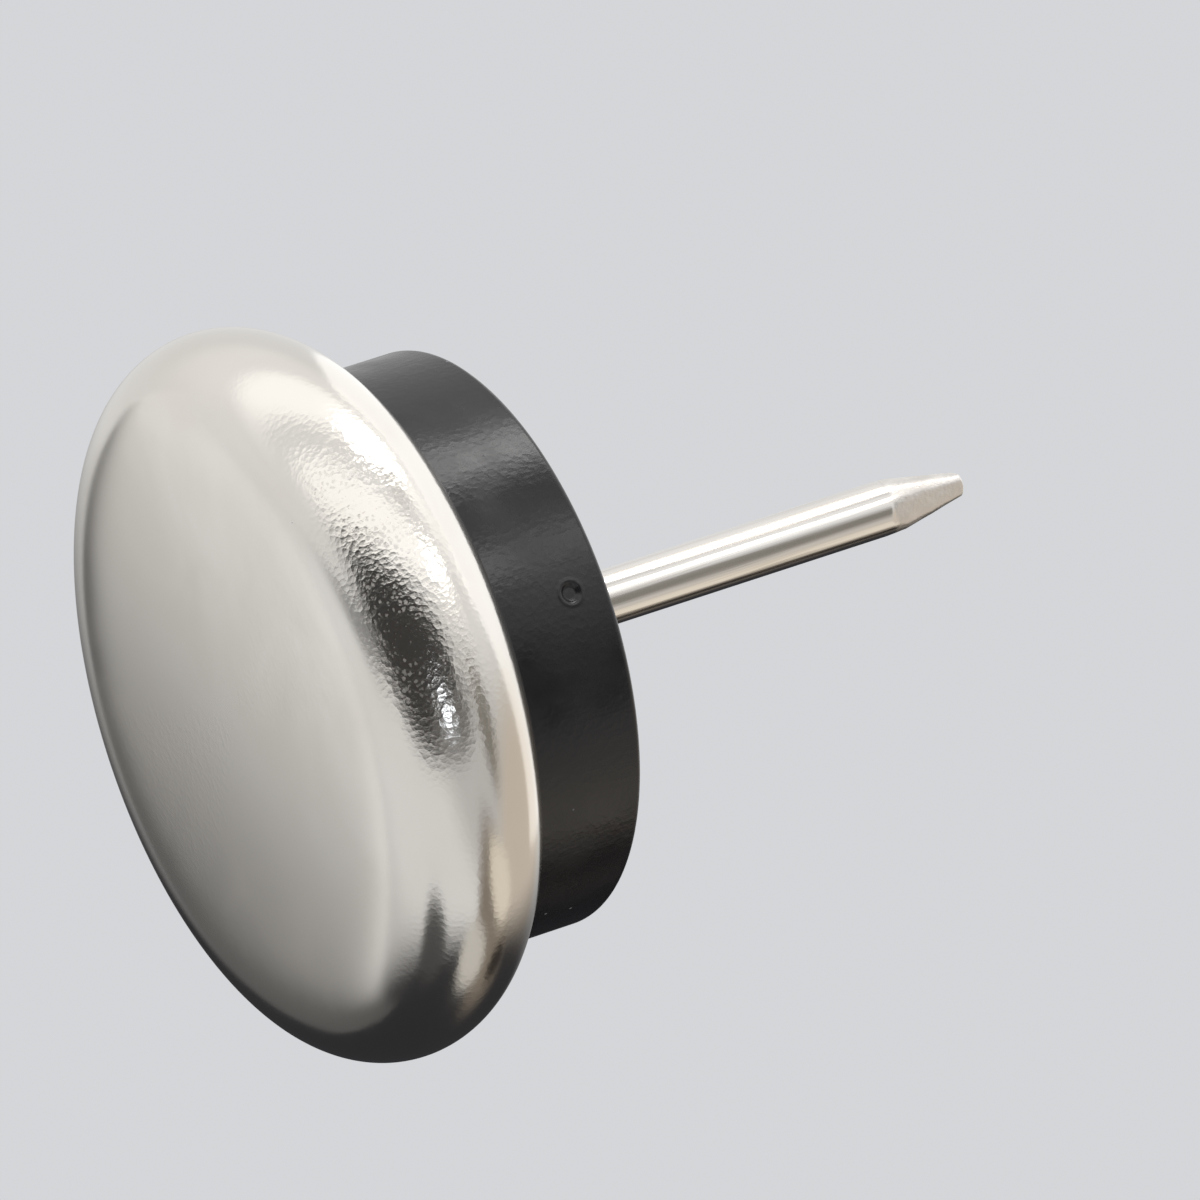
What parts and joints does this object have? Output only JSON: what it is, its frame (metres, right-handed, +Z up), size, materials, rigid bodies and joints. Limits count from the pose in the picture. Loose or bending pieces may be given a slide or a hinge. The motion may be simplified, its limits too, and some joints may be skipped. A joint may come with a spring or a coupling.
{
  "type": "nail-on furniture glide",
  "caption": "Round furniture glide: a nickel-plated steel cap with a flat sole, crimped over a black plastic base, with a nail that drives into the end of a wooden leg.",
  "frame": {"origin": "centre of the cap's flat sole", "axes": "+Z up the nail, from the sole towards the nail's point; X and Y lie in the plane of the sole"},
  "size_m": [0.027, 0.027, 0.0305],
  "materials": {
    "cap_nickel": "bright nickel plate on pressed steel, with a fine orange peel",
    "base_black": "moulded black plastic with a soft sheen",
    "nail_plate": "bright plated wire with drawn streaks along its length and a duller pressed point"
  },
  "bodies": {
    "root": {"steel_cap": "cap_nickel", "plastic_base": "base_black", "nail": "nail_plate"}
  },
  "joints": []
}
